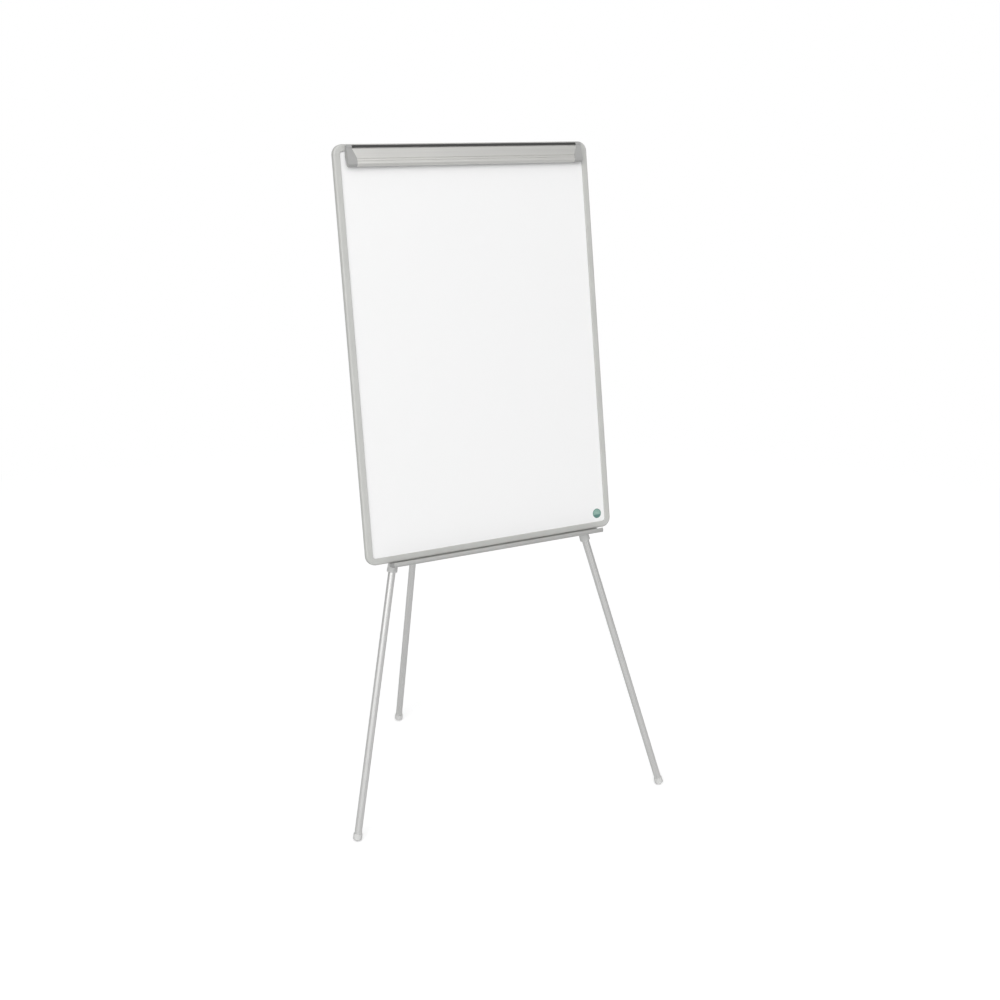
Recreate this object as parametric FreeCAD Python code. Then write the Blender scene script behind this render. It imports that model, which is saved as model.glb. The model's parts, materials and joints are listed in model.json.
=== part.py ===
"""Tripod flipchart easel: a framed whiteboard with a hinged pad clamp and a pen tray, hung on a tripod.

The easel is laid out in a design frame first: X to the right along the board, Y backwards, Z up from the
floor, with X = 0 on the board's centre line and Y = 0 at the bottom front edge of the board. At the end
everything moves sideways so that the origin is at the centre of the easel's footprint box.

Board parts are drawn in the board's own frame (x, depth, height), where depth grows backwards from the
front of the plastic frame and height runs up the board from its bottom edge.
Leg parts are drawn in a leg's own frame: the origin on its hinge, X outwards, Z up along the leg.
"""
import FreeCAD, Part

import math
import os

from FreeCAD import Placement, Rotation, Vector

# ---------------------------------------------------------------- driving dimensions, millimetres and degrees

BOARD_WIDTH = 700.0
BOARD_HEIGHT = 1000.0
BOARD_LEAN = 8.4            # the top of the board leans back by this much
BOARD_BOTTOM = 747.5        # height of the board's bottom edge above the floor

FRAME_FACE = 16.5           # width of the frame seen from the front
FRAME_DEPTH = 13.4
CORNER_RADIUS = 25.0        # outer corner of the frame
LIP = 4.0                   # thickness of the frame's front lip
BACK_LIP_FROM = 10.8        # depth where the frame's back lip starts
BACK_LIP_WIDTH = 12.0
FRAME_WALL = 2.6
SEAM = 0.15                 # the rails and corner mouldings each stop this short of their joints

PANEL_INSET = 3.0           # the panel's edge sits this far inside the frame's outer edge
SHEET_FRONT = 4.05          # depth of the writing surface
SHEET_THICK = 0.5
CORE_THICK = 5.7
BACK_SHEET_THICK = 0.5
PANEL_BACK = SHEET_FRONT + SHEET_THICK + CORE_THICK + BACK_SHEET_THICK

FRAME_SCREW = 8.0           # lengths of the screws under their heads
RAIL_SCREW = 6.5
TRAY_SCREW = 13.0
HANGER_SCREW = 9.5
RAIL_SCREW_HEIGHT = 960.5
SCREW_RADIUS = 1.4
SCREW_SLOT = 0.75           # width of each slot of the cross recess

CLAMP_OFFSET = 3.0          # the clamp sits a little to the right
CLAMP_HALF = 323.0          # half the length of the clamp over its end caps
CLAMP_LOW = 946.4           # bottom of the clamp
CAP_TOP = 14.5              # length of a cap along its top edge
CAP_BOTTOM = 23.0           # length of a cap along its bottom edge
MITRE_LOW = 965.0           # heights between which the joint between jaw and cap slants
MITRE_HIGH = 986.0
HINGE_DEPTH = -4.6          # axis of the clamp's hinge
HINGE_HEIGHT = 992.2
BEAD_RADIUS = 2.6           # round bead on the jaw that turns in the hinge strip
NECK_HALF = 0.9             # half the thickness of the web that carries the bead
JAW_OPENS = 40.0
STRIP_RADIUS = 4.4          # outside of the hinge strip
SLEEVE_RADIUS = 4.75        # the jaw wraps round the strip at this radius
BARREL_RADIUS = 4.3         # round end of a cap in line with the hinge strip
RUNNING = 0.08              # radial clearance of a running fit
RAIL_HALF = 290.0           # half the length of the clamp's base rail
FLANGE_HALF = 307.0         # half the length of the rail's flange on the frame
STRIP_HALF = 308.0          # half the length of the black hinge strip
SPRING_RADIUS = 3.15        # mean radius of the two torsion springs in the end caps
SPRING_WIRE = 0.4
SPRING_PITCH = 1.15
SPRING_TURNS = 7.25
SPRING_SIDES = 8            # the springs are wound from wire of this many flats
POCKET_RADIUS = 3.75
GRIP_HALF = 288.0           # half the length of the rubber grip strip
HOOK_SPREAD = 180.0         # each pad hook's distance from the centre line
HOOK_HEIGHT = 972.0
PEG_RADIUS = 3.0
PEG_TIP = -6.5

TRAY_LENGTH = 600.0
TRAY_OFFSET = 8.0           # the tray sits a little to the right
TRAY_REACH = 26.0           # how far the tray stands out in front of the frame
TRAY_DROP = 8.2
TRAY_LIP_TOP = 3.2          # the lip rises this far above the board's bottom edge
TRAY_LIP_THICK = 3.0
TRAY_FLOOR_THICK = 1.8
TRAY_CAP_THICK = 1.5
TRAY_FLANGE = 12.0          # depth of the flange screwed under the frame

STICKER_RADIUS = 12.5
STICKER_X = 311.0
STICKER_THICK = 0.4
STICKER_HEIGHT = 38.0

HANGER_THICK = 2.0
HANGER_HALF = 72.0          # half the width of the hanger plate
HANGER_LOW = 912.0
HANGER_HIGH = 993.0
HOOK_X = 32.0               # each hanger hook's distance from the centre line
HOOK_HALF = 12.0
HOOK_TIP = 966.0

HEAD_DEPTH = 64.0           # centre of the tripod's head, in the board's frame
HEAD_HEIGHT = 950.0
HEAD_TURN = -4.0            # the tripod stands turned by this much under the board
HEAD_REACH = 40.0           # from the head's centre to each leg's hinge
FRONT_LEG_SWEEP = 25.0      # front legs point this much forward of straight sideways
EAR_GAP = 12.6
EAR_THICK = 5.2
EYE_THICK = 12.0
EYE_RADIUS = 9.0
PIN_RADIUS = 3.0
PIN_HEAD_RADIUS = 5.0
PIN_HEAD_THICK = 1.8

TILT = {"left": 12.0, "right": 17.0, "rear": 14.2}
AZIMUTH = {
    "left": 180.0 + FRONT_LEG_SWEEP + HEAD_TURN,
    "right": -FRONT_LEG_SWEEP + HEAD_TURN,
    "rear": 90.0 + HEAD_TURN,
}

UPPER_RADIUS = 11.0
UPPER_WALL = 1.2
UPPER_FROM = 17.0           # the upper tube starts this far below the hinge
PLUG_LENGTH = 40.0          # length of the knuckle's plug in the upper tube
COLLAR_END = 1016.5         # lower end of the collar, measured down the leg from the hinge
COLLAR_LENGTH = 30.0
COLLAR_RIM = 13.5
BUSH_LENGTH = 9.0           # the upper tube stops this far above the collar's lower end
LOWER_RADIUS = 9.5
LOWER_WALL = 1.0
OVERLAP = 240.0             # lower tube hidden inside the upper tube at rest
FOOT_RADIUS = 11.8
FOOT_HEIGHT = 20.0
FOOT_DOME = 15.0
FOOT_SEAT = 4.6             # the lower tube stands this far above the sole
JOURNAL_RADIUS = 5.0        # the lock ring turns on this
LOCK_LENGTH = 18.0
LOCK_FLANGE = 8.0

BACK = Vector(0, 1, 0)
FRONT = Vector(0, -1, 0)
UP = Vector(0, 0, 1)

# ---------------------------------------------------------------- outline and solid helpers


def outline(corners, origin=Vector(0, 0, 0), across=Vector(1, 0, 0), up=Vector(0, 1, 0)):
    """Closed wire through corners of (a, b) or (a, b, radius), drawn in the plane of two unit vectors."""
    points = [Vector(c[0], c[1], 0) for c in corners]
    radii = [c[2] if len(c) > 2 else 0.0 for c in corners]

    def place(p):
        return origin + across * p.x + up * p.y

    starts, ends, arcs = [], [], []
    for i, p in enumerate(points):
        before = (points[i - 1] - p).normalize()
        after = (points[(i + 1) % len(points)] - p).normalize()
        if radii[i] <= 0:
            starts.append(p)
            ends.append(p)
            arcs.append(None)
            continue
        half = before.getAngle(after) / 2
        reach = radii[i] / math.tan(half)
        middle = (before + after).normalize() * (radii[i] / math.sin(half) - radii[i])
        starts.append(p + before * reach)
        ends.append(p + after * reach)
        arcs.append(p + middle)
    edges = []
    for i in range(len(points)):
        if arcs[i] is not None:
            edges.append(Part.Arc(place(starts[i]), place(arcs[i]), place(ends[i])).toShape())
        here, there = ends[i], starts[(i + 1) % len(points)]
        if (there - here).Length > 1e-6:
            edges.append(Part.LineSegment(place(here), place(there)).toShape())
    return Part.Wire(edges)


def along_x(corners, x_from, x_to):
    """Prism of a (depth, height) outline between two x positions, in the board's frame."""
    wire = outline(corners, Vector(x_from, 0, 0), Vector(0, 1, 0), Vector(0, 0, 1))
    return Part.Face(wire).extrude(Vector(x_to - x_from, 0, 0))


def plate_xz(corners, depth_from, depth_to):
    """Plate of an (x, height) outline between two depths, in the board's frame."""
    wire = outline(corners, Vector(0, depth_from, 0), Vector(1, 0, 0), Vector(0, 0, 1))
    return Part.Face(wire).extrude(Vector(0, depth_to - depth_from, 0))


def block(x0, x1, y0, y1, z0, z1):
    return Part.makeBox(x1 - x0, y1 - y0, z1 - z0, Vector(x0, y0, z0))


def rod(start, direction, radius, length):
    return Part.makeCylinder(radius, length, start, direction)


def turned(points, centre=Vector(0, 0, 0)):
    """Solid of revolution about Z of an (r, z) outline."""
    wire = outline(points, centre, Vector(1, 0, 0), Vector(0, 0, 1))
    return Part.Face(wire).revolve(centre, Vector(0, 0, 1), 360)


def tube(radius, wall, z_low, z_high):
    outer = rod(Vector(0, 0, z_low), Vector(0, 0, 1), radius, z_high - z_low)
    return outer.cut(rod(Vector(0, 0, z_low), Vector(0, 0, 1), radius - wall, z_high - z_low))


def rounded_rectangle(x0, x1, z0, z1, radius):
    return [(x0, z0, radius), (x1, z0, radius), (x1, z1, radius), (x0, z1, radius)]


# ---------------------------------------------------------------- placements

BOARD = Placement(Vector(0, 0, BOARD_BOTTOM), Rotation(Vector(1, 0, 0), -BOARD_LEAN))
HEAD_CENTRE = BOARD.multVec(Vector(0, HEAD_DEPTH, HEAD_HEIGHT))


def lobe_placement(name):
    """Frame of one lobe of the head: X outwards, Z up, the origin at the leg's hinge."""
    turn = Rotation(Vector(0, 0, 1), AZIMUTH[name])
    return Placement(HEAD_CENTRE + turn.multVec(Vector(HEAD_REACH, 0, 0)), turn)


def leg_placement(name):
    lobe = lobe_placement(name)
    return Placement(lobe.Base, lobe.Rotation.multiply(Rotation(Vector(0, 1, 0), -TILT[name])))


def floor_distance(name):
    """Distance down the leg's axis from its hinge to the centre of the foot's dome."""
    return (HEAD_CENTRE.z - FOOT_DOME) / math.cos(math.radians(TILT[name]))


# ---------------------------------------------------------------- screws

def pan_screw(x, depth, height, toward, shank, head_radius=2.8, head_thick=1.5):
    """Pan-head screw with a cross recess, in the board's frame. `toward` is the way its point looks."""
    seat = Vector(x, depth, height)
    top = seat - toward * head_thick
    head = rod(top, toward, head_radius, head_thick)
    rim = [e for e in head.Edges if e.Curve.TypeId == "Part::GeomCircle"
           and (e.Curve.Center - seat).Length > head_thick / 2]
    head = head.makeFillet(0.6, rim)
    arm = head_radius * 0.62
    slots = [block(-arm, arm, -SCREW_SLOT / 2, SCREW_SLOT / 2, 0, 0.9),
             block(-SCREW_SLOT / 2, SCREW_SLOT / 2, -arm, arm, 0, 0.9)]
    for slot in slots:
        slot.Placement = Placement(top, Rotation(Vector(0, 0, 1), toward))
    return head.cut(slots).fuse(rod(seat, toward, SCREW_RADIUS, shank)).removeSplitter()


def screw_hole(x, depth, height, toward, length):
    """Hole filled by a screw's shank, from the plane its head sits on."""
    return rod(Vector(x, depth, height), toward, SCREW_RADIUS, length)


SCREW_INSET = 6.8           # frame screws sit this far inside the board's outer edge
CORNER_SCREW_INSET = 12.5


def frame_screw_places():
    """(x, height) of the screws in the frame's back lip: two by two along each edge, one in each corner."""
    half = BOARD_WIDTH / 2
    places = [(x, SCREW_INSET) for x in (-180, 180)]
    places += [(x, BOARD_HEIGHT - SCREW_INSET) for x in (-240, 240)]
    places += [(side * (half - SCREW_INSET), z) for side in (-1, 1) for z in (250, 500, 750)]
    low, high = CORNER_SCREW_INSET, BOARD_HEIGHT - CORNER_SCREW_INSET
    places += [(side * (half - CORNER_SCREW_INSET), z) for side in (-1, 1) for z in (low, high)]
    return places


FRAME_SCREW_PLACES = frame_screw_places()
RAIL_SCREW_XS = (-260, -130, 0, 130, 260)
TRAY_SCREW_XS = (-240, -80, 96, 256)
HANGER_SCREW_PLACES = [(x, z) for x in (-60, 60) for z in (925, 975)]
RAIL_SEAT = SHEET_FRONT - 0.9       # depth of the base rail's foot, under the heads of its screws
TRAY_SEAT = -2.0                    # height of the tray flange's underside

# ---------------------------------------------------------------- frame and panel


def frame_profile():
    """Half-open channel of the frame as (inwards, depth): front lip, outer wall and back lip."""
    slot = FRAME_WALL
    return [
        (0, 0, 5.0), (FRAME_FACE, 0, 1.5), (FRAME_FACE, LIP, 0.5), (slot, LIP, 0.4),
        (slot, BACK_LIP_FROM, 0.4), (BACK_LIP_WIDTH, BACK_LIP_FROM, 0.4),
        (BACK_LIP_WIDTH, FRAME_DEPTH, 0.6), (0, FRAME_DEPTH, 2.0),
    ]


def frame_rail(corner, inwards, run, length):
    """Straight length of frame from `corner` along `run`, its section drawn along `inwards`."""
    wire = outline(frame_profile(), corner, inwards, BACK)
    return Part.Face(wire).extrude(run * length)


def frame_corner(sx, sz):
    """Quarter-round corner moulding, sx and sz giving the corner's side."""
    half_w = BOARD_WIDTH / 2
    centre = Vector(sx * (half_w - CORNER_RADIUS), 0,
                    CORNER_RADIUS if sz < 0 else BOARD_HEIGHT - CORNER_RADIUS)
    outward = Vector(sx, 0, 0)
    wire = outline(frame_profile(), centre + outward * CORNER_RADIUS, outward * -1, BACK)
    turn = -90 if sx * sz > 0 else 90
    return Part.Face(wire).revolve(centre, Vector(0, 1, 0), turn)


def tray_screw_holes():
    return [screw_hole(x, FRAME_DEPTH / 2, TRAY_SEAT, UP, TRAY_SCREW) for x in TRAY_SCREW_XS]


def panel_layer(depth_from, depth_to):
    inset = PANEL_INSET
    half = BOARD_WIDTH / 2 - inset
    corners = rounded_rectangle(-half, half, inset, BOARD_HEIGHT - inset, CORNER_RADIUS - inset)
    return plate_xz(corners, depth_from, depth_to)


def make_frame():
    half = BOARD_WIDTH / 2
    start = CORNER_RADIUS + SEAM
    across, upright = BOARD_WIDTH - 2 * start, BOARD_HEIGHT - 2 * start
    right = Vector(1, 0, 0)
    parts = {
        "frame_rail_bottom": frame_rail(Vector(-half + start, 0, 0), UP, right, across),
        "frame_rail_top": frame_rail(Vector(-half + start, 0, BOARD_HEIGHT), UP * -1, right, across),
        "frame_rail_left": frame_rail(Vector(-half, 0, start), right, UP, upright),
        "frame_rail_right": frame_rail(Vector(half, 0, start), right * -1, UP, upright),
        "frame_corner_top_left": frame_corner(-1, 1),
        "frame_corner_top_right": frame_corner(1, 1),
        "frame_corner_bottom_left": frame_corner(-1, -1),
        "frame_corner_bottom_right": frame_corner(1, -1),
    }
    holes = [screw_hole(x, FRAME_DEPTH, z, FRONT, FRAME_SCREW) for x, z in FRAME_SCREW_PLACES]
    return {name: shape.cut(holes + tray_screw_holes()) for name, shape in parts.items()}


def make_panel():
    core_front = SHEET_FRONT + SHEET_THICK
    core_back = core_front + CORE_THICK
    sheet = panel_layer(SHEET_FRONT, core_front)
    core = panel_layer(core_front, core_back)
    back = panel_layer(core_back, PANEL_BACK)
    behind = [screw_hole(x, FRAME_DEPTH, z, FRONT, FRAME_SCREW) for x, z in FRAME_SCREW_PLACES]
    behind += [screw_hole(x, FRAME_DEPTH + HANGER_THICK, z, FRONT, HANGER_SCREW)
               for x, z in HANGER_SCREW_PLACES]
    front = [screw_hole(x + CLAMP_OFFSET, RAIL_SEAT, RAIL_SCREW_HEIGHT, BACK, RAIL_SCREW)
             for x in RAIL_SCREW_XS]
    sticker = rod(Vector(STICKER_X, SHEET_FRONT, STICKER_HEIGHT), FRONT, STICKER_RADIUS, STICKER_THICK)
    return {
        "writing_sheet": sheet.cut(front),
        "board_core": core.cut(behind + front + tray_screw_holes()),
        "back_sheet": back.cut(behind),
        "frame_screws": Part.makeCompound(
            [pan_screw(x, FRAME_DEPTH, z, FRONT, FRAME_SCREW) for x, z in FRAME_SCREW_PLACES]),
        "corner_sticker": sticker,
    }


# ---------------------------------------------------------------- clamp

def by_hinge(points):
    """Turn points given from the clamp's hinge into (depth, height) of the board's frame."""
    return [(HINGE_DEPTH + p[0], HINGE_HEIGHT + p[1]) + tuple(p[2:]) for p in points]


def hinge_rod(radius, x_from, x_to):
    return rod(Vector(x_from, HINGE_DEPTH, HINGE_HEIGHT), Vector(1, 0, 0), radius, x_to - x_from)


def jaw_section():
    """Thin section of the jaw as (depth, height): sleeve lip, face, two fine grooves and lower band."""
    sleeve = by_hinge([(NECK_HALF, -6.3), (NECK_HALF, -3.0), (-3.6, -3.6)])
    face = [(-9.0, 987.7, 1.2), (-13.8, 964.6, 0.4)]
    grooves = [(-11.8, 964.2, 0.2), (-11.9, 962.5, 0.2), (-14.3, 962.3, 0.3),
               (-14.7, 959.2, 0.3), (-12.9, 958.9, 0.2), (-12.9, 957.3, 0.2)]
    band = [(-14.8, 957.0, 0.5), (-14.5, 951.6, 4.0), (-10.8, CLAMP_LOW, 2.0), (-4.6, CLAMP_LOW, 0.6)]
    lip = [(-4.6, CLAMP_LOW + 4.6, 0.4), (-6.0, CLAMP_LOW + 4.6, 0.3), (-6.2, CLAMP_LOW + 1.7, 0.3)]
    inside = [(-10.3, CLAMP_LOW + 1.7, 1.2), (-12.9, 952.4, 1.5), (-11.5, 956.2, 0.5), (-11.4, 960.6, 0.5),
              (-10.3, 961.6, 0.5), (-10.3, 965.6, 0.5), (-12.1, 967.2, 0.5), (-8.6, 985.9, 1.0)]
    return sleeve + face + grooves + band + lip + inside


def cap_section():
    """Solid section of an end cap: the jaw's outside, closed towards the board, without the grooves."""
    return [
        (-1.0, 985.0, 1.0), (-5.0, 989.0, 0.5), (-8.4, 989.2, 0.8), (-9.5, 987.8, 1.2), (-14.3, 964.0, 2.0),
        (-15.3, 958.0, 2.0), (-14.9, 951.4, 4.0), (-11.0, CLAMP_LOW - 0.3, 2.2),
        (-5.0, CLAMP_LOW - 0.3, 1.5), (2.4, 970.0, 1.5), (2.4, 978.5, 1.0), (-0.8, 981.0, 1.0),
    ]


def mitre_block(side, margin=0.0):
    """Block outside the joint between the jaw and an end cap: slanted on the face, upright elsewhere."""
    top = CLAMP_HALF - CAP_TOP + margin
    bottom = CLAMP_HALF - CAP_BOTTOM + margin
    far = CLAMP_HALF + 50
    low, high = CLAMP_LOW - 10, BOARD_HEIGHT + 10
    corners = [(side * bottom, low), (side * bottom, MITRE_LOW), (side * top, MITRE_HIGH),
               (side * top, high), (side * far, high), (side * far, low)]
    return plate_xz(corners, -40, 40)


def make_jaw():
    jaw = along_x(jaw_section(), -CLAMP_HALF, CLAMP_HALF)
    jaw = jaw.cut(hinge_rod(SLEEVE_RADIUS, -CLAMP_HALF - 1, CLAMP_HALF + 1))
    neck = by_hinge([(-NECK_HALF, 0), (-NECK_HALF, -5.0), (NECK_HALF, -5.0), (NECK_HALF, 0)])
    jaw = jaw.fuse([along_x(neck, -CLAMP_HALF, CLAMP_HALF), hinge_rod(BEAD_RADIUS, -CLAMP_HALF, CLAMP_HALF)])
    jaw = jaw.removeSplitter().cut([mitre_block(-1), mitre_block(1)])
    parts = {"clamp_jaw": jaw}
    cheek = by_hinge([(-3.8, -0.7), (-3.8, -6.2), (3.2, -8.2), (3.7, -0.7)])
    for name, side in (("left", -1), ("right", 1)):
        near, far = sorted((side * (CLAMP_HALF - CAP_BOTTOM - 5), side * CLAMP_HALF))
        cap = along_x(cap_section(), near, far)
        cap = cap.fuse([hinge_rod(BARREL_RADIUS, near, far), along_x(cheek, near, far)])
        cap = cap.common(mitre_block(side, 0.02)).removeSplitter()
        pocket_ends = sorted((side * (CLAMP_HALF - CAP_TOP - 1), side * (CLAMP_HALF - 2.3)))
        pocket = hinge_rod(POCKET_RADIUS, pocket_ends[0], pocket_ends[1])
        parts["clamp_cap_" + name] = cap.cut([pocket, spring_tail(side, 0.05)])
    grip = [(-4.5, CLAMP_LOW + 0.9, 0.4), (3.72, CLAMP_LOW + 1.4, 1.2), (3.72, CLAMP_LOW + 3.8, 1.2),
            (-4.5, CLAMP_LOW + 4.4, 0.4)]
    parts["clamp_grip_strip"] = along_x(grip, -GRIP_HALF, GRIP_HALF)
    parts["clamp_springs"] = Part.makeCompound([clamp_spring(-1), clamp_spring(1)])
    return parts


def spring_start(side):
    """X position where a spring's coil begins, next to the end of the hinge strip."""
    return side * (STRIP_HALF + 1.9)


def spring_tail(side, margin=0.0):
    """Spring's outer end, a straight wire that runs down into the cap."""
    x = spring_start(side) + side * SPRING_PITCH * SPRING_TURNS
    return rod(Vector(x, HINGE_DEPTH - SPRING_RADIUS, HINGE_HEIGHT + margin), UP * -1,
               SPRING_WIRE + margin, 8.0 + 2 * margin)


def clamp_spring(side):
    """Torsion spring: a tail held in the hinge strip, a coil round the hinge's axis and a tail in the cap."""
    start = Vector(spring_start(side), HINGE_DEPTH, HINGE_HEIGHT)
    helix = Part.makeHelix(SPRING_PITCH, SPRING_PITCH * SPRING_TURNS, SPRING_RADIUS, 0, side < 0)
    middle = Vector(SPRING_RADIUS, 0, 0)
    flats = [Rotation(BACK, 360.0 * i / SPRING_SIDES) for i in range(SPRING_SIDES + 1)]
    ring = Part.makePolygon([middle + flat.multVec(Vector(SPRING_WIRE, 0, 0)) for flat in flats])
    coil = Part.Wire(helix.Edges).makePipeShell([ring], True, True)
    turn = Rotation(UP, Vector(0, -side, 0), Vector(side, 0, 0), "XYZ")
    coil.Placement = Placement(start, turn)
    held = Vector(start.x - side * 6.5, HINGE_DEPTH, HINGE_HEIGHT + SPRING_RADIUS)
    tail = rod(held, Vector(side, 0, 0), SPRING_WIRE, 6.5)
    return coil.fuse([tail, spring_tail(side)])


def make_clamp_base():
    """Base rail on the board, black hinge strip that the jaw's bead turns in, and the rail's screws."""
    top = HINGE_HEIGHT + STRIP_RADIUS
    flange = along_x([(-1.6, 983.4, 0.3), (0, 983.4), (0, top), (-1.6, top, 0.3)], -FLANGE_HALF, FLANGE_HALF)
    web = along_x([(-1.6, 983.6), (-1.6, 981.9), (SHEET_FRONT - 1.4, 979.6), (SHEET_FRONT, 979.6),
                   (SHEET_FRONT, 981.4), (-0.05, 981.9), (0, 983.6)], -RAIL_HALF, RAIL_HALF)
    foot = along_x([(RAIL_SEAT, 954.6, 0.3), (SHEET_FRONT, 954.6), (SHEET_FRONT, 981.0),
                    (RAIL_SEAT, 981.0)], -RAIL_HALF, RAIL_HALF)
    rail = flange.fuse([web, foot])
    for side in (-1, 1):
        wall = HOOK_HEIGHT + side * 5.6
        lip = HOOK_HEIGHT + side * 3.5
        rib = [(SHEET_FRONT - 0.8, wall), (0.4, wall), (0.4, lip), (1.2, lip),
               (1.2, wall - side * 0.2), (SHEET_FRONT - 0.8, wall - side * 0.2)]
        outer = [(SHEET_FRONT - 0.8, wall), (0.4, wall), (0.4, wall + side * 1.2),
                 (SHEET_FRONT - 0.8, wall + side * 1.2)]
        rail = rail.fuse([along_x(rib, -RAIL_HALF, RAIL_HALF), along_x(outer, -RAIL_HALF, RAIL_HALF)])
    rail = rail.removeSplitter().cut(
        [screw_hole(x, RAIL_SEAT, RAIL_SCREW_HEIGHT, BACK, RAIL_SCREW) for x in RAIL_SCREW_XS])

    back = by_hinge([(0, -STRIP_RADIUS), (3.0, -STRIP_RADIUS), (3.0, STRIP_RADIUS), (0, STRIP_RADIUS)])
    strip = hinge_rod(STRIP_RADIUS, -STRIP_HALF, STRIP_HALF).fuse(along_x(back, -STRIP_HALF, STRIP_HALF))
    strip = strip.removeSplitter().common(block(-400, 400, -20, -1.6, 900, 1000))
    swing = math.radians(JAW_OPENS + 4)
    edge = NECK_HALF + 0.25
    mouth = by_hinge([
        (edge, 0.8), (edge, -7.0), (-3.0, -8.0),
        (-edge * math.cos(swing) - 7 * math.sin(swing), edge * math.sin(swing) - 7 * math.cos(swing)),
        (-edge * math.cos(swing), edge * math.sin(swing)),
    ])
    tails = [rod(Vector(side * (STRIP_HALF + 1), HINGE_DEPTH, HINGE_HEIGHT + SPRING_RADIUS),
                 Vector(-side, 0, 0), SPRING_WIRE, 6.6) for side in (-1, 1)]
    strip = strip.cut([hinge_rod(BEAD_RADIUS + RUNNING, -400, 400), along_x(mouth, -400, 400)] + tails)
    return {
        "clamp_base_rail": rail,
        "clamp_hinge_strip": strip,
        "clamp_rail_screws": Part.makeCompound(
            [pan_screw(x, RAIL_SEAT, RAIL_SCREW_HEIGHT, BACK, RAIL_SCREW, head_thick=1.2)
             for x in RAIL_SCREW_XS]),
    }


def pad_hook(x):
    """Sliding peg that a pad hangs from: a slider in the rail's channel, a neck, a flange and a round peg."""
    z = HOOK_HEIGHT
    slider = block(x - 9, x + 9, 1.4, SHEET_FRONT - 1.1, z - 5.2, z + 5.2)
    neck = block(x - 8, x + 8, 0.0, 1.6, z - 3.2, z + 3.2)
    flange = plate_xz(rounded_rectangle(x - 9, x + 9, z - 5.4, z + 5.4, 2.0), -0.9, 0.2)
    peg = rod(Vector(x, 0, z), FRONT, PEG_RADIUS, -PEG_TIP)
    tip = [e for e in peg.Edges if e.Curve.TypeId == "Part::GeomCircle" and e.Curve.Center.y < PEG_TIP / 2]
    return slider.fuse([neck, flange, peg.makeFillet(1.0, tip)]).removeSplitter()


# ---------------------------------------------------------------- pen tray

def make_tray():
    """Aluminium tray: a flange under the frame, a back wall, a floor and a lip that curls under."""
    front, low = -TRAY_REACH, -TRAY_DROP
    behind_lip = front + TRAY_LIP_THICK
    floor = low + TRAY_FLOOR_THICK
    section = [
        (TRAY_FLANGE, -0.1, 0.3), (TRAY_FLANGE, TRAY_SEAT, 0.3), (0.6, TRAY_SEAT, 0.6), (0.6, low, 1.6),
        (front, low, 5.4), (front, TRAY_LIP_TOP, 1.3), (behind_lip, TRAY_LIP_TOP, 1.3),
        (behind_lip, floor, 2.6), (-1.0, floor, 1.0), (-1.0, -0.1, 0.3),
    ]
    cap = [(1.0, TRAY_SEAT - 0.4, 0.5), (1.0, low - 0.3, 1.6), (front - 0.3, low - 0.3, 5.6),
           (front - 0.3, TRAY_LIP_TOP + 0.3, 1.4), (behind_lip + 0.2, TRAY_LIP_TOP + 0.3, 1.4),
           (-1.2, TRAY_SEAT + 0.4, 0.6)]
    x_from = TRAY_OFFSET - TRAY_LENGTH / 2
    x_to = TRAY_OFFSET + TRAY_LENGTH / 2
    tray = along_x(section, x_from + TRAY_CAP_THICK, x_to - TRAY_CAP_THICK)
    return {
        "pen_tray": tray.cut(tray_screw_holes()),
        "tray_cap_left": along_x(cap, x_from, x_from + TRAY_CAP_THICK),
        "tray_cap_right": along_x(cap, x_to - TRAY_CAP_THICK, x_to),
        "tray_screws": Part.makeCompound(
            [pan_screw(x, FRAME_DEPTH / 2, TRAY_SEAT, UP, TRAY_SCREW, head_radius=2.6)
             for x in TRAY_SCREW_XS]),
    }


# ---------------------------------------------------------------- hanger and tripod head

HOOK_PLAY = 0.6             # clearance before and behind the bracket's plate, inside the hooks
BRACKET_FRONT = FRAME_DEPTH + HANGER_THICK + HOOK_PLAY
BRACKET_THICK = 2.5
BRACKET_HALF = 46.0
BRACKET_LOW = 916.0
BRACKET_TOP = 990.4
ARM_THICK = 4.0
ARM_HALF = 17.0             # half the width of the bracket's level arm
RIB_THICK = 3.0
RIB_REACH = 24.0
RIB_RISE = 11.0
HUB_TOP = 20.0
HUB_BOTTOM = -20.0
HUB_RADIUS = 19.0
BOLT_RADIUS = 4.0
BOLT_HEAD = 5.3
WASHER_RADIUS = 9.0
WASHER_THICK = 1.6
NUT_HEIGHT = 6.5
HEX_RADIUS = 7.5            # across the corners of the bolt's head and the nut, halved


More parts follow.
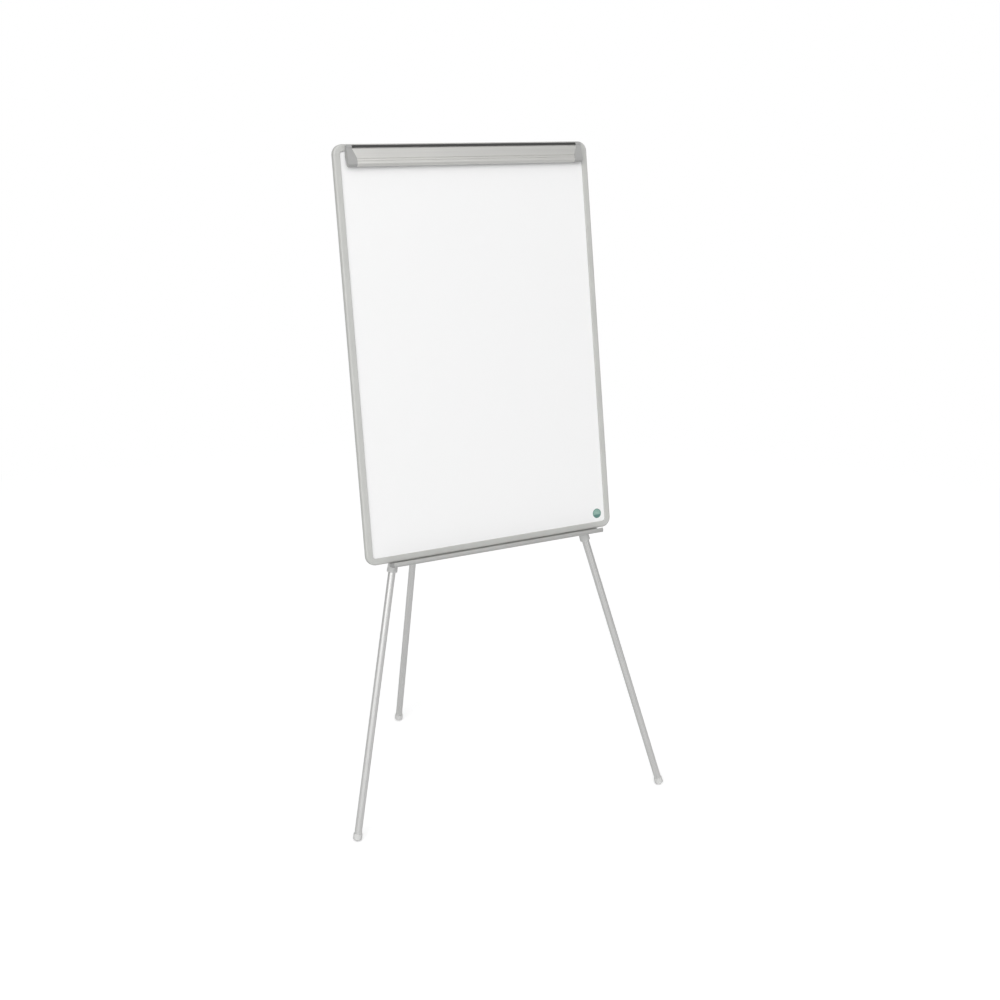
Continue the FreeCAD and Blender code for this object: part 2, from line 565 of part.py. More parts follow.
def make_hanger():
    """Steel hanger on the board's back, with two hooks that drop behind the head's bracket."""
    plate_back = FRAME_DEPTH + HANGER_THICK
    root = FRAME_DEPTH + 0.5
    strap = HANGER_HIGH - HANGER_THICK
    hook_front = BRACKET_FRONT + BRACKET_THICK + HOOK_PLAY
    hook_back = hook_front + HANGER_THICK
    outer = rounded_rectangle(-HANGER_HALF, HANGER_HALF, HANGER_LOW, HANGER_HIGH, 4.0)
    inner = rounded_rectangle(-HANGER_HALF, HANGER_HALF, HANGER_LOW, BOARD_HEIGHT - BACK_LIP_WIDTH - 0.2, 4.0)
    plate = plate_xz(outer, FRAME_DEPTH, plate_back)
    for x in (-HOOK_X, HOOK_X):
        section = [(root, HANGER_HIGH), (root, strap), (hook_front, strap, 0.4), (hook_front, HOOK_TIP),
                   (hook_back, HOOK_TIP), (hook_back, HANGER_HIGH, 2.4)]
        plate = plate.fuse(along_x(section, x - HOOK_HALF, x + HOOK_HALF))
    spacer = plate_xz(inner, PANEL_BACK, FRAME_DEPTH)
    holes = [screw_hole(x, plate_back, z, FRONT, HANGER_SCREW) for x, z in HANGER_SCREW_PLACES]
    return {
        "hanger_plate": plate.removeSplitter().cut(holes),
        "hanger_spacer": spacer.cut(holes),
        "hanger_screws": Part.makeCompound(
            [pan_screw(x, plate_back, z, FRONT, HANGER_SCREW, head_radius=3.6, head_thick=2.0)
             for x, z in HANGER_SCREW_PLACES]),
    }


def make_bracket():
    """Welded steel bracket: an upright plate parallel to the board and a level arm bolted on the head."""
    plate = plate_xz(rounded_rectangle(-BRACKET_HALF, BRACKET_HALF, BRACKET_LOW, BRACKET_TOP, 3.0),
                     BRACKET_FRONT, BRACKET_FRONT + BRACKET_THICK)
    plate.Placement = BOARD.multiply(plate.Placement)
    arm_low = HEAD_CENTRE.z + HUB_TOP
    arm_top = arm_low + ARM_THICK
    front = BOARD.multVec(Vector(0, BRACKET_FRONT + BRACKET_THICK / 2, HEAD_HEIGHT + HUB_TOP)).y
    back = HEAD_CENTRE.y + ARM_HALF
    arm = block(-ARM_HALF, ARM_HALF, front, back, arm_low, arm_top)
    rear_edges = [e for e in arm.Edges if abs(e.CenterOfMass.y - back) < 0.01
                  and abs(e.CenterOfMass.z - (arm_low + arm_top) / 2) < 0.01]
    arm = arm.makeFillet(ARM_HALF - 3.0, rear_edges)
    ribs = []
    for x in (-ARM_HALF + 1.5, ARM_HALF - 1.5 - RIB_THICK):
        corners = [(front, arm_top - 0.5), (front + RIB_REACH, arm_top - 0.5, 2.0),
                   (front + 3.0, arm_top + RIB_RISE)]
        rib = outline(corners, Vector(x, 0, 0), BACK, UP)
        ribs.append(Part.Face(rib).extrude(Vector(RIB_THICK, 0, 0)))
    hole = rod(Vector(0, HEAD_CENTRE.y, arm_low - 1), UP, BOLT_RADIUS + 0.1, ARM_THICK + 2)
    return plate.fuse([arm] + ribs).cut(hole).removeSplitter()


def lobe():
    """One lobe of the head in its own frame: two rounded ears joined to the hub and to the top plate."""
    ear_out = EAR_GAP / 2 + EAR_THICK
    side = outline([(-HEAD_REACH, -16.0), (-13.0, -16.0, 6.0), (-2.0, -10.5, 5.0), (10.5, -10.5, 8.0),
                    (10.5, 10.0, 8.0), (-6.0, HUB_TOP, 8.0), (-HEAD_REACH, HUB_TOP)],
                   Vector(0, -ear_out, 0), Vector(1, 0, 0), Vector(0, 0, 1))
    solid = Part.Face(side).extrude(Vector(0, 2 * ear_out, 0))
    slot = outline([(-14.0, -30.0), (30.0, -30.0), (30.0, 30.0), (2.0, 30.0), (-11.0, 13.5, 3.0),
                    (-14.0, 11.0)], Vector(0, -EAR_GAP / 2, 0), Vector(1, 0, 0), UP)
    slot = Part.Face(slot).extrude(Vector(0, EAR_GAP, 0))
    return solid, slot, rod(Vector(0, -20, 0), Vector(0, 1, 0), PIN_RADIUS, 40)


def washer(base, way):
    ring = rod(base, way, WASHER_RADIUS, WASHER_THICK)
    return ring.cut(rod(base, way, BOLT_RADIUS + 0.1, WASHER_THICK))


def hex_prism(base, height):
    turns = [Rotation(UP, 60.0 * i) for i in range(7)]
    ring = [base + turn.multVec(Vector(HEX_RADIUS, 0, 0)) for turn in turns]
    return Part.Face(Part.makePolygon(ring)).extrude(UP * height)


def make_hub():
    """Moulded head: a round hub with three lobes, each slotted for a knuckle and drilled for its pin."""
    hub = rod(HEAD_CENTRE + UP * HUB_BOTTOM, UP, HUB_RADIUS, HUB_TOP - HUB_BOTTOM)
    bottom = [e for e in hub.Edges
              if e.Curve.TypeId == "Part::GeomCircle" and e.Curve.Center.z < HEAD_CENTRE.z]
    hub = hub.makeFillet(3.0, bottom)
    cuts = [rod(HEAD_CENTRE + UP * (HUB_BOTTOM - 1), UP, BOLT_RADIUS + 0.1, HUB_TOP - HUB_BOTTOM + 2)]
    for name in AZIMUTH:
        solid, slot, pin_hole = lobe()
        for piece in (solid, slot, pin_hole):
            piece.Placement = lobe_placement(name).multiply(piece.Placement)
        hub = hub.fuse(solid)
        cuts += [slot, pin_hole]
    return hub.removeSplitter().cut(cuts)


def make_head():
    seat = HEAD_CENTRE + UP * (HUB_TOP + ARM_THICK)
    under = HEAD_CENTRE + UP * HUB_BOTTOM
    head_base = seat + UP * WASHER_THICK
    nut_base = under - UP * (WASHER_THICK + NUT_HEIGHT)
    shank_low = nut_base - UP * 3.0
    shank = rod(shank_low, UP, BOLT_RADIUS, head_base.z - shank_low.z)
    return {
        "head_spider": make_hub(),
        "head_bracket": make_bracket(),
        "head_washers": Part.makeCompound([washer(seat, UP), washer(under, UP * -1)]),
        "head_bolt": hex_prism(head_base, BOLT_HEAD).fuse(shank).removeSplitter(),
        "head_nut": hex_prism(nut_base, NUT_HEIGHT).cut(rod(nut_base, UP, BOLT_RADIUS, NUT_HEIGHT)),
    }


# ---------------------------------------------------------------- legs

def hinge_pin():
    """Rivet across the ears, in a lobe's frame."""
    half = EAR_GAP / 2 + EAR_THICK
    pin = rod(Vector(0, -half, 0), BACK, PIN_RADIUS, 2 * half)
    for way in (BACK, FRONT):
        head = rod(way * half, way, PIN_HEAD_RADIUS, PIN_HEAD_THICK)
        rim = [e for e in head.Edges
               if e.Curve.TypeId == "Part::GeomCircle" and abs(e.Curve.Center.y) > half + PIN_HEAD_THICK / 2]
        pin = pin.fuse(head.makeFillet(1.2, rim))
    return pin.removeSplitter()


def knuckle():
    """Moulded eye that turns on the pin, with a plug pressed into the upper tube."""
    inner = UPPER_RADIUS - UPPER_WALL
    half = EYE_THICK / 2
    eye = rod(Vector(0, -half, 0), BACK, EYE_RADIUS, EYE_THICK)
    stem = block(-EYE_RADIUS, EYE_RADIUS, -half, half, -UPPER_FROM, 0)
    stem = stem.common(rod(UP * -UPPER_FROM, UP, UPPER_RADIUS, UPPER_FROM))
    shoulder = turned([(0, -UPPER_FROM), (UPPER_RADIUS, -UPPER_FROM), (UPPER_RADIUS, -UPPER_FROM + 2.2, 1.2),
                       (0, -UPPER_FROM + 2.2)])
    plug = rod(UP * (-UPPER_FROM - PLUG_LENGTH), UP, inner, PLUG_LENGTH)
    pin_hole = rod(FRONT * 20, BACK, PIN_RADIUS + RUNNING, 40)
    return eye.fuse([stem, shoulder, plug]).removeSplitter().cut(pin_hole)


def collar():
    """Bell-shaped collar on the end of the upper tube, with a bush that guides the lower tube."""
    end = -COLLAR_END
    bush = end + BUSH_LENGTH
    top = end + COLLAR_LENGTH
    bore = LOWER_RADIUS + RUNNING
    return turned([
        (bore, end, 0.5), (COLLAR_RIM, end, 0.8), (COLLAR_RIM, end + 4.5, 0.8),
        (UPPER_RADIUS + 1.0, top - 4.0, 3.0), (UPPER_RADIUS + 0.8, top, 0.6), (UPPER_RADIUS, top),
        (UPPER_RADIUS, bush), (bore, bush),
    ])


def lock_plug(top):
    """Twist lock's plug in the lower tube's upper end, with a journal for the lock ring."""
    inner = LOWER_RADIUS - LOWER_WALL
    shoulder = LOWER_RADIUS - 0.2
    journal_end = top + LOCK_LENGTH
    return turned([
        (0, top - 28), (inner, top - 28, 1.0), (inner, top), (shoulder, top), (shoulder, top + 3),
        (JOURNAL_RADIUS, top + 3), (JOURNAL_RADIUS, journal_end), (LOCK_FLANGE, journal_end),
        (LOCK_FLANGE, journal_end + 3, 0.8), (0, journal_end + 3),
    ])


def lock_ring(top):
    """Split ring on the plug's journal; twisting the lower tube jams it in the upper tube."""
    bore = JOURNAL_RADIUS + RUNNING
    outside = UPPER_RADIUS - UPPER_WALL - 0.1
    low, high = top + 3.2, top + LOCK_LENGTH - 0.2
    ring = turned([(bore, low), (outside, low, 0.6), (outside, high, 0.6), (bore, high)])
    return ring.cut(block(0, 20, -0.8, 0.8, top, top + 30))


def foot(name):
    """Foot cap over the lower tube's end, with a domed sole, and the height where the tube ends in it."""
    centre = -floor_distance(name)
    sole = centre - FOOT_DOME
    rim = sole + FOOT_HEIGHT
    seat = sole + FOOT_SEAT
    body = turned([(0, sole - 1), (FOOT_RADIUS, sole - 1), (FOOT_RADIUS - 0.4, rim, 0.8), (0, rim)])
    ball = Part.makeSphere(FOOT_DOME, Vector(0, 0, centre))
    upper = rod(Vector(0, 0, centre), UP, 20, 40)
    body = body.common(ball.fuse(upper))
    return body.cut(rod(Vector(0, 0, seat), UP, LOWER_RADIUS, 40)).removeSplitter(), seat


def make_leg(name):
    tube_end = -COLLAR_END + BUSH_LENGTH
    lower_top = -COLLAR_END + OVERLAP
    foot_shape, seat = foot(name)
    parts = {
        "leg_knuckle_" + name: knuckle(),
        "upper_tube_" + name: tube(UPPER_RADIUS, UPPER_WALL, tube_end, -UPPER_FROM),
        "leg_collar_" + name: collar(),
        "lock_ring_" + name: lock_ring(lower_top),
        "lock_plug_" + name: lock_plug(lower_top),
        "lower_tube_" + name: tube(LOWER_RADIUS, LOWER_WALL, seat, lower_top),
        "foot_" + name: foot_shape,
    }
    place = leg_placement(name)
    for shape in parts.values():
        shape.Placement = place.multiply(shape.Placement)
    pin = hinge_pin()
    pin.Placement = lobe_placement(name).multiply(pin.Placement)
    parts["leg_pin_" + name] = pin
    return parts


# ---------------------------------------------------------------- assembly

def make_easel():
    """Every node's shape, in the design frame."""
    board = {}
    clamp = {"pad_hook_left": pad_hook(-HOOK_SPREAD), "pad_hook_right": pad_hook(HOOK_SPREAD)}
    clamp.update(make_clamp_base())
    clamp.update(make_jaw())
    for shape in clamp.values():
        shape.translate(Vector(CLAMP_OFFSET, 0, 0))
    for group in (make_frame(), make_panel(), clamp, make_tray(), make_hanger()):
        board.update(group)
    for shape in board.values():
        shape.Placement = BOARD.multiply(shape.Placement)
    nodes = dict(board)
    nodes.update(make_head())
    for name in AZIMUTH:
        nodes.update(make_leg(name))
    return nodes


def footprint_shift(nodes):
    """Sideways move that brings the centre of the easel's box to X = 0 and Y = 0."""
    box = Part.makeCompound(list(nodes.values())).optimalBoundingBox(False)
    return Vector(-(box.XMin + box.XMax) / 2, -(box.YMin + box.YMax) / 2, 0)


NODES = make_easel()
SHIFT = footprint_shift(NODES)

os.makedirs("parts", exist_ok=True)
for node, shape in NODES.items():
    shape.translate(SHIFT)
    shape.exportStep("parts/" + node + ".step")
print(len(NODES), "nodes, moved by", round(SHIFT.x, 2), round(SHIFT.y, 2))
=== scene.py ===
"""Looks of the flipchart easel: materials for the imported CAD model, a plain studio and a camera."""
import json
import math

import bpy
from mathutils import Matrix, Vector


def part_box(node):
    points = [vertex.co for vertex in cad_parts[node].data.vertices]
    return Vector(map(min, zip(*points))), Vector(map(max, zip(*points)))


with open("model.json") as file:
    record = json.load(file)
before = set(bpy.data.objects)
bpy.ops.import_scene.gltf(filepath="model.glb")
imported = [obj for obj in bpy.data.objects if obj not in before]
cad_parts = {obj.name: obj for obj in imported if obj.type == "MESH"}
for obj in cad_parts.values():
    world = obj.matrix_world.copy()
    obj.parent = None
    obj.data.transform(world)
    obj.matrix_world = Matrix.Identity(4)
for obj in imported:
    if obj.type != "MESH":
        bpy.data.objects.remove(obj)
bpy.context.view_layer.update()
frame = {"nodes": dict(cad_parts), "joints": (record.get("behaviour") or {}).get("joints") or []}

NODES = frame["nodes"]
JOINTS = {joint["name"]: joint for joint in frame["joints"]}
LEGS = ("left", "right", "rear")

BOARD_UP = Vector(JOINTS["board_lift"]["axis"])
BOARD_LEAN = math.atan2(BOARD_UP.y, BOARD_UP.z)
LEG_DOWN = {leg: Vector(JOINTS[leg + "_leg_slide"]["axis"]) for leg in LEGS}
LEG_TOP = {leg: Vector(JOINTS[leg + "_leg_hinge"]["pos_m"]) for leg in LEGS}

MICRON = 1e-6                            # surface relief is given in microns
ALONG_BOARD = (BOARD_LEAN, 0, 0)         # turn that brings the leaning board upright, for textures
NOISE_SPREAD = (0.3, 0.7)                # where nearly all of a noise texture's values lie

# ---------------------------------------------------------------- colours

FRAME_GREY = (0.515, 0.518, 0.50)
CAP_GREY = (0.36, 0.36, 0.355)
LEG_GREY = (0.63, 0.632, 0.622)
SOFT_BLACK = (0.022, 0.022, 0.023)
# the hinge strip's own dark grey, made as dark as the gap above the jaw, so it also paints the shade in that
# gap
STRIP_BLACK_AND_GAP_SHADE = (0.045, 0.045, 0.044)
HEAD_BLACK = (0.03, 0.03, 0.032)
STEEL_BLACK = (0.02, 0.02, 0.021)
RUBBER_BLACK = (0.02, 0.02, 0.02)
CLAMP_SILVER = (0.77, 0.765, 0.74)
TRAY_SILVER = (0.62, 0.62, 0.605)
UPPER_TUBE_SILVER = (0.50, 0.50, 0.50)
LOWER_TUBE_SILVER = (0.79, 0.79, 0.78)
ZINC_SILVER = (0.66, 0.67, 0.68)
SPRING_GREY = (0.3, 0.3, 0.31)
SHEET_GREY = (0.52, 0.53, 0.54)
FIBRE_BROWN = (0.45, 0.33, 0.2)
BOARD_WHITE = (0.87, 0.87, 0.87)
STICKER_RIM = (0.15, 0.275, 0.235)
STICKER_FIELD = (0.24, 0.40, 0.345)
STICKER_PALE = (0.31, 0.48, 0.42)
STICKER_DARK = (0.095, 0.215, 0.19)
WHITE = (1, 1, 1, 1)

# the sticker's pattern, in parts of its radius
STICKER_MIDDLE = 0.8                     # the pale middle has faded out here
STICKER_BAND = (-0.2, -0.32)             # the lower band starts and is full at these heights
STICKER_EDGE = (0.82, 0.9)               # the rim starts and is full here


def tinted(colour, factor):
    return tuple(channel * factor for channel in colour)


# ---------------------------------------------------------------- node helpers

def add_node(tree, kind, inputs=None, **settings):
    """New node with its settings, and with each input linked to a socket or set to a value."""
    made = tree.nodes.new(kind)
    for key, value in settings.items():
        setattr(made, key, value)
    for key, value in (inputs or {}).items():
        if isinstance(value, bpy.types.NodeSocket):
            tree.links.new(value, made.inputs[key])
        else:
            made.inputs[key].default_value = value
    return made


class Shade:
    """One material: a Principled shader and short calls that add nodes to it."""

    def __init__(self, name, colour, roughness=0.5, metallic=0.0, **sockets):
        self.colour = colour
        self.material = bpy.data.materials.new(name)
        self.material.use_nodes = True
        self.tree = self.material.node_tree
        self.shader = self.tree.nodes["Principled BSDF"]
        self.shader.inputs["Base Color"].default_value = (*colour, 1)
        self.shader.inputs["Roughness"].default_value = roughness
        self.shader.inputs["Metallic"].default_value = metallic
        for key, value in sockets.items():
            self.shader.inputs[key.replace("_", " ")].default_value = value
        self.heights = []

    def node(self, kind, inputs=None, **settings):
        return add_node(self.tree, kind, inputs, **settings)

    def link(self, output, socket):
        self.tree.links.new(output, self.shader.inputs[socket])

    def place(self, turn=None, scale=(1, 1, 1), origin=(0, 0, 0)):
        """Coordinates in metres, turned into a part's own directions and then stretched."""
        where = self.node("ShaderNodeTexCoord").outputs["Object"]
        if turn is not None:
            moved = self.node("ShaderNodeVectorMath", {0: where, 1: origin}, operation="SUBTRACT")
            where = self.node("ShaderNodeMapping", {"Vector": moved.outputs[0], "Rotation": turn}).outputs[0]
        return self.node("ShaderNodeMapping", {"Vector": where, "Scale": scale}).outputs[0]

    def noise(self, where, scale, detail=3.0, roughness=0.55):
        """Noise with this many features to a metre."""
        return self.node("ShaderNodeTexNoise", {
            "Vector": where, "Scale": scale, "Detail": detail, "Roughness": roughness}).outputs["Fac"]

    def remap(self, value, low, high, to_low=0.0, to_high=1.0):
        return self.node("ShaderNodeMapRange", {
            "Value": value, "From Min": low, "From Max": high, "To Min": to_low, "To Max": to_high,
        }).outputs["Result"]

    def math(self, operation, first, second=0.0):
        return self.node("ShaderNodeMath", {0: first, 1: second}, operation=operation).outputs[0]

    def blend(self, amount, first, second):
        """Colour that goes from the first to the second as the amount goes from 0 to 1."""
        made = self.node("ShaderNodeMix", data_type="RGBA")
        for socket, value in ((made.inputs[0], amount), (made.inputs[6], first), (made.inputs[7], second)):
            if isinstance(value, bpy.types.NodeSocket):
                self.tree.links.new(value, socket)
            else:
                socket.default_value = value if isinstance(value, float) else (*value, 1)
        return made.outputs[2]

    def vary_colour(self, amount, first_tint, second_tint):
        """Base colour that runs between two tints of the material's own colour."""
        tints = tinted(self.colour, first_tint), tinted(self.colour, second_tint)
        self.link(self.blend(amount, *tints), "Base Color")

    def vary_roughness(self, amount, smoothest, roughest, spread=NOISE_SPREAD):
        self.link(self.remap(amount, *spread, smoothest, roughest), "Roughness")

    def bump(self, height, distance, strength=1.0):
        """Adds a layer of surface relief, its distance in metres."""
        self.heights.append((height, distance, strength))

    def finish(self):
        """Stacks the layers of relief and hands over the material."""
        normal = None
        for height, distance, strength in self.heights:
            inputs = {"Height": height, "Distance": distance, "Strength": strength}
            if normal is not None:
                inputs["Normal"] = normal
            normal = self.node("ShaderNodeBump", inputs).outputs["Normal"]
        if normal is not None:
            self.link(normal, "Normal")
        return self.material


# ---------------------------------------------------------------- materials

def moulded_plastic(name, colour, roughness=0.42, grain=20 * MICRON, turn=ALONG_BOARD):
    """Satin moulding with a fine spark-eroded grain and slightly uneven gloss."""
    shade = Shade(name, colour, roughness, Specular_IOR_Level=0.45)
    where = shade.place(turn)
    cloud = shade.noise(where, 14, detail=2)
    shade.vary_colour(shade.remap(cloud, *NOISE_SPREAD), 0.96, 1.03)
    shade.vary_roughness(shade.noise(where, 60), roughness - 0.05, roughness + 0.06)
    shade.bump(shade.noise(where, 2600, detail=2, roughness=0.6), grain, 0.5)
    return shade.finish()


def drawn_aluminium(name, colour, roughness=0.34, turn=ALONG_BOARD, stretch=(1.5, 900, 900),
                    origin=(0, 0, 0)):
    """Satin anodised extrusion with faint lines along its length."""
    shade = Shade(name, colour, roughness, 0.9, Specular_IOR_Level=0.5)
    lines = shade.noise(shade.place(turn, stretch, origin), 1.0, detail=4, roughness=0.6)
    cloud = shade.noise(shade.place(turn, origin=origin), 9, detail=2)
    tone = shade.math("ADD", shade.math("MULTIPLY", lines, 0.6), shade.math("MULTIPLY", cloud, 0.4))
    shade.vary_colour(shade.remap(tone, *NOISE_SPREAD), 0.93, 1.04)
    shade.vary_roughness(lines, roughness - 0.06, roughness + 0.08, spread=(0.25, 0.75))
    shade.bump(lines, 12 * MICRON, 0.35)
    return shade.finish()


def dry_wipe_lacquer(name, colour):
    """Glossy white lacquer with a very slight orange peel and the faint haze that wiping leaves."""
    shade = Shade(name, colour, 0.3, Specular_IOR_Level=0.4)
    haze = shade.noise(shade.place(ALONG_BOARD, (1.0, 1.0, 2.4)), 3.0, detail=4, roughness=0.5)
    shade.vary_colour(haze, 1.0, 0.992)
    shade.vary_roughness(haze, 0.26, 0.38, spread=(0.0, 1.0))
    shade.bump(shade.noise(shade.place(ALONG_BOARD), 160, detail=2, roughness=0.5), 10 * MICRON, 0.3)
    return shade.finish()


def powder_coat(name, colour, roughness=0.45):
    """Powder coat with its fine pebbled skin."""
    shade = Shade(name, colour, roughness, Specular_IOR_Level=0.5)
    where = shade.place()
    shade.vary_roughness(shade.noise(where, 90), roughness - 0.06, roughness + 0.08)
    shade.vary_colour(shade.noise(where, 30), 0.9, 1.12)
    shade.bump(shade.noise(where, 900, detail=2, roughness=0.5), 80 * MICRON, 0.5)
    return shade.finish()


def zinc_plate(name, colour):
    """Bright zinc plating on turned and pressed steel."""
    shade = Shade(name, colour, 0.3, 1.0)
    where = shade.place()
    shade.vary_roughness(shade.noise(where, 300), 0.22, 0.4)
    shade.vary_colour(shade.noise(where, 120, detail=2), 0.85, 1.1)
    shade.bump(shade.noise(where, 1500, detail=2), 10 * MICRON, 0.4)
    return shade.finish()


def spangled_sheet(name, colour):
    """Galvanised backing sheet with its soft crystal pattern."""
    shade = Shade(name, colour, 0.42, 0.75)
    crystals_per_metre = 95.0
    wander = (0.012, 0.012, 0.012)       # how far the crystals' edges stray, in metres
    where = shade.place(ALONG_BOARD)
    stir = shade.node("ShaderNodeTexNoise", {"Vector": where, "Scale": 60.0}).outputs["Color"]
    warped = shade.node("ShaderNodeVectorMath", {0: stir, 1: wander, 2: where}, operation="MULTIPLY_ADD")
    cells = shade.node("ShaderNodeTexVoronoi", {"Vector": warped.outputs[0], "Scale": crystals_per_metre})
    tone = shade.node("ShaderNodeSeparateColor", {"Color": cells.outputs["Color"]}).outputs[0]
    shade.vary_colour(tone, 0.86, 1.08)
    shade.vary_roughness(tone, 0.34, 0.52, spread=(0.0, 1.0))
    return shade.finish()


def fibre_board(name, colour):
    """Cut edge of fibreboard."""
    shade = Shade(name, colour, 0.8)
    fibres = shade.noise(shade.place(ALONG_BOARD, (1, 1, 3)), 700, detail=4, roughness=0.7)
    shade.vary_colour(fibres, 0.7, 1.2)
    shade.bump(fibres, 200 * MICRON, 0.6)
    return shade.finish()


def rubber(name, colour):
    """Dull black rubber."""
    shade = Shade(name, colour, 0.7, Specular_IOR_Level=0.35)
    where = shade.place()
    shade.vary_roughness(shade.noise(where, 200), 0.62, 0.8)
    shade.vary_colour(shade.noise(where, 80), 0.8, 1.3)
    shade.bump(shade.noise(where, 1200, detail=2), 30 * MICRON, 0.5)
    return shade.finish()


def printed_sticker(name, centre, radius):
    """Round vinyl sticker: dark rim, paler middle and dark lower band, with soft patches and no mark."""
    shade = Shade(name, STICKER_FIELD, 0.35, Coat_Weight=0.3)
    where = shade.place(ALONG_BOARD, origin=centre)
    parts = shade.node("ShaderNodeSeparateXYZ", {"Vector": where}).outputs
    across = shade.math("POWER", parts[0], 2.0)
    upright = shade.math("POWER", parts[2], 2.0)
    reach = shade.math("SQRT", shade.math("ADD", across, upright))
    faded = shade.remap(reach, 0.0, radius * STICKER_MIDDLE)
    patches = shade.remap(shade.noise(where, 130, detail=1), 0.45, 0.6, 0.0, 0.5)
    band = shade.remap(parts[2], *(radius * height for height in STICKER_BAND))
    edge = shade.remap(reach, *(radius * distance for distance in STICKER_EDGE))
    print_colour = shade.blend(faded, STICKER_PALE, STICKER_FIELD)
    print_colour = shade.blend(patches, print_colour, tinted(STICKER_FIELD, 0.8))
    print_colour = shade.blend(band, print_colour, STICKER_DARK)
    print_colour = shade.blend(edge, print_colour, STICKER_RIM)
    shade.link(print_colour, "Base Color")
    shade.vary_roughness(shade.noise(where, 400, detail=2), 0.3, 0.42)
    return shade.finish()


def silver_tube(name, colour, leg, roughness):
    """Drawn tube with faint lines along the leg."""
    along_leg = (-LEG_DOWN[leg]).rotation_difference(Vector((0, 0, 1))).to_euler()
    return drawn_aluminium(name, colour, roughness, along_leg, (700, 700, 1.2), LEG_TOP[leg])


def sticker_place():
    """Middle and radius of the sticker."""
    low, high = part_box("corner_sticker")
    return (low + high) / 2, (high.x - low.x) / 2


def make_materials():
    shared = {
        "frame": moulded_plastic("frame_plastic", FRAME_GREY),
        "cap": moulded_plastic("cap_plastic", CAP_GREY, 0.46),
        "pale": moulded_plastic("leg_plastic", LEG_GREY, 0.4, turn=None),
        "black": moulded_plastic("black_plastic", SOFT_BLACK, 0.42, turn=None),
        # dark hinge strip whose colour also paints the shade in the gap between the frame's top and the jaw
        "strip": moulded_plastic("strip_plastic_and_gap_shade", STRIP_BLACK_AND_GAP_SHADE, 0.4),
        "head": moulded_plastic("head_plastic", HEAD_BLACK, 0.5, 60 * MICRON, None),
        "clamp": drawn_aluminium("clamp_aluminium", CLAMP_SILVER),
        "tray": drawn_aluminium("tray_aluminium", TRAY_SILVER),
        "lacquer": dry_wipe_lacquer("white_lacquer", BOARD_WHITE),
        "fibre": fibre_board("board_fibre", FIBRE_BROWN),
        "back": spangled_sheet("back_laminate", SHEET_GREY),
        "steel": powder_coat("black_steel", STEEL_BLACK),
        "zinc": zinc_plate("zinc_steel", ZINC_SILVER),
        "spring": zinc_plate("spring_steel", SPRING_GREY),
        "rubber": rubber("grip_rubber", RUBBER_BLACK),
        "sticker": printed_sticker("sticker_green", *sticker_place()),
    }
    for leg in LEGS:
        shared["upper_" + leg] = silver_tube("upper_tube_" + leg, UPPER_TUBE_SILVER, leg, 0.4)
        shared["lower_" + leg] = silver_tube("lower_tube_" + leg, LOWER_TUBE_SILVER, leg, 0.27)
    return shared


# material, and how the names of the nodes that wear it start
WEARS = {
    "frame": ("frame_rail", "frame_corner"),
    "cap": ("clamp_cap", "tray_cap"),
    "pale": ("foot_", "leg_collar", "leg_knuckle"),
    "black": ("lock_", "pad_hook", "hanger_spacer"),
    "strip": ("clamp_hinge_strip",),
    "head": ("head_spider",),
    "clamp": ("clamp_base_rail", "clamp_jaw"),
    "tray": ("pen_tray",),
    "lacquer": ("writing_sheet",),
    "fibre": ("board_core",),
    "back": ("back_sheet",),
    "steel": ("hanger_plate", "head_bracket"),
    "zinc": ("leg_pin", "frame_screws", "tray_screws", "clamp_rail_screws", "hanger_screws",
             "head_bolt", "head_nut", "head_washers"),
    "spring": ("clamp_springs",),
    "rubber": ("clamp_grip_strip",),
    "sticker": ("corner_sticker",),
}
for leg in LEGS:
    WEARS["upper_" + leg] = ("upper_tube_" + leg,)
    WEARS["lower_" + leg] = ("lower_tube_" + leg,)


def dress():
    """Gives every CAD node its material."""
    shared = make_materials()
    for name, node in NODES.items():
        worn = next(key for key, starts in WEARS.items() if name.startswith(starts))
        node.data.materials.clear()
        node.data.materials.append(shared[worn])


# ---------------------------------------------------------------- studio

CAMERA_AT = Vector((-1.68226, -3.21235, 1.8106))
CAMERA_HEADING = math.radians(29.38)     # to the right of straight ahead
CAMERA_PITCH = math.radians(13.33)       # below level
CAMERA_LENS = 49.94
SENSOR = 36.0
CAMERA_SHIFT = -0.06
CAMERA_REACH = 60

LIGHTS = (                               # name, place, height that it faces, side of its square, watts
    ("key", (-3.0, -2.8, 3.4), 1.1, 1.6, 30),
    ("rim", (2.2, 2.6, 2.8), 1.0, 1.2, 12),
)

FLOOR_RADIUS = 60.0
FLOOR_SIDES = 96
FLOOR_COLOUR = (0.8, 0.8, 0.8)
FLOOR_BOUNCE = (0.72, 0.72, 0.72)        # what the floor gives back to the easel's undersides
FLOOR_FADE = (1.0, 4.0)                  # distances from the middle where the floor turns into the surround
FLOOR_LIFT = 0.42                        # light added to what the camera sees of the floor
SURROUND_BASE = 0.28
SURROUND = (                             # direction, where each soft patch starts and is full, its strength
    ((0, 0, 1), 0.1, 1.0, 0.3),
    ((-0.45, -0.85, 0.12), 0.35, 0.99, 1.7),
)


def make_camera():
    data = bpy.data.cameras.new("camera")
    data.lens = CAMERA_LENS
    data.sensor_width = SENSOR
    data.shift_y = CAMERA_SHIFT
    data.clip_end = CAMERA_REACH
    camera = bpy.data.objects.new("camera", data)
    camera.location = CAMERA_AT
    camera.rotation_euler = (math.pi / 2 - CAMERA_PITCH, 0, -CAMERA_HEADING)
    bpy.context.scene.collection.objects.link(camera)
    bpy.context.scene.camera = camera


def square_light(name, at, height, side, power):
    """Soft square light that faces the easel at one height."""
    data = bpy.data.lights.new(name, "AREA")
    data.shape = "SQUARE"
    data.size = side
    data.energy = power
    light = bpy.data.objects.new(name, data)
    light.location = at
    light.rotation_euler = (Vector((0, 0, height)) - Vector(at)).to_track_quat("-Z", "Y").to_euler()
    bpy.context.scene.collection.objects.link(light)


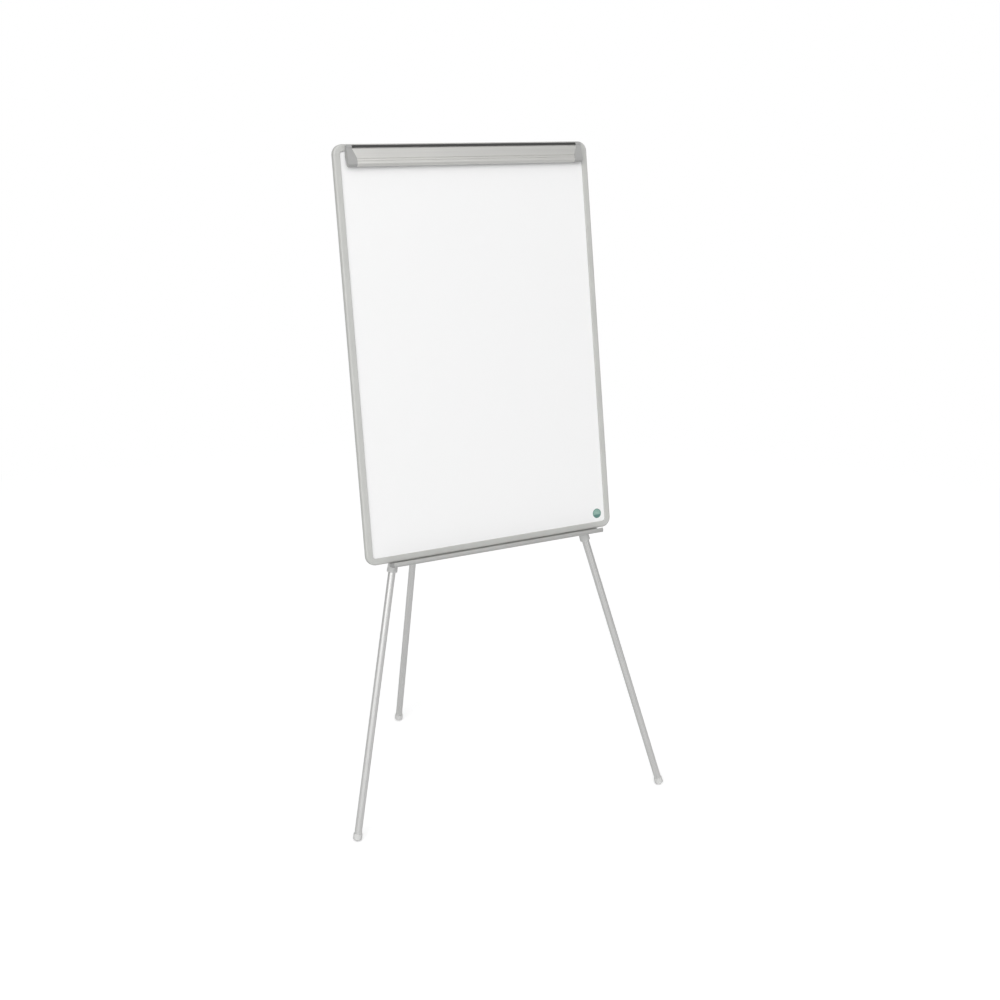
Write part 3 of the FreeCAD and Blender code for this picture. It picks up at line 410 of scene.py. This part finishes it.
def make_floor():
    """Pale floor that takes soft shadows under the easel and fades into the bright surround further out."""
    bpy.ops.mesh.primitive_circle_add(vertices=FLOOR_SIDES, radius=FLOOR_RADIUS, fill_type="NGON")
    floor = bpy.context.object
    floor.name = "studio_floor"
    shade = Shade("studio_floor", FLOOR_COLOUR, 0.9)
    where = shade.place()
    shade.vary_colour(shade.noise(where, 3, detail=2), 1.0, 0.985)
    reach = shade.node("ShaderNodeVectorMath", {0: where}, operation="LENGTH").outputs["Value"]
    fade = shade.remap(reach, *FLOOR_FADE)
    glow = shade.node("ShaderNodeEmission", {"Color": WHITE, "Strength": 1.0}).outputs[0]
    lift = shade.node("ShaderNodeEmission", {"Color": WHITE, "Strength": FLOOR_LIFT}).outputs[0]
    lit = shade.node("ShaderNodeAddShader", {0: shade.shader.outputs[0], 1: lift}).outputs[0]
    visible = shade.node("ShaderNodeMixShader", {0: fade, 1: lit, 2: glow}).outputs[0]
    bounce = shade.node("ShaderNodeBsdfDiffuse", {"Color": (*FLOOR_BOUNCE, 1)}).outputs[0]
    seen = shade.node("ShaderNodeLightPath").outputs["Is Camera Ray"]
    both = shade.node("ShaderNodeMixShader", {0: seen, 1: bounce, 2: visible}).outputs[0]
    shade.tree.links.new(both, shade.tree.nodes["Material Output"].inputs["Surface"])
    floor.data.materials.append(shade.material)


def make_surround():
    """White to the eye, and for lighting brighter overhead and in front of the board than at its sides."""
    world = bpy.data.worlds.new("surround")
    world.use_nodes = True
    tree = world.node_tree
    tree.nodes.clear()
    direction = add_node(tree, "ShaderNodeTexCoord").outputs["Generated"]
    strength = SURROUND_BASE
    for towards, low, high, gain in SURROUND:
        facing = add_node(tree, "ShaderNodeVectorMath", {0: direction, 1: Vector(towards).normalized()},
                          operation="DOT_PRODUCT").outputs["Value"]
        patch = add_node(tree, "ShaderNodeMapRange", {
            "Value": facing, "From Min": low, "From Max": high, "To Max": gain,
        }, interpolation_type="SMOOTHSTEP").outputs["Result"]
        strength = add_node(tree, "ShaderNodeMath", {0: strength, 1: patch}, operation="ADD").outputs[0]
    lighting = add_node(tree, "ShaderNodeBackground", {"Color": WHITE, "Strength": strength}).outputs[0]
    seen = add_node(tree, "ShaderNodeBackground", {"Color": WHITE, "Strength": 1.0}).outputs[0]
    to_camera = add_node(tree, "ShaderNodeLightPath").outputs["Is Camera Ray"]
    both = add_node(tree, "ShaderNodeMixShader", {0: to_camera, 1: lighting, 2: seen}).outputs[0]
    add_node(tree, "ShaderNodeOutputWorld", {"Surface": both})
    bpy.context.scene.world = world


def make_studio():
    make_floor()
    make_surround()
    for light in LIGHTS:
        square_light(*light)
    bpy.context.scene.view_settings.view_transform = "Standard"


dress()
make_studio()
make_camera()
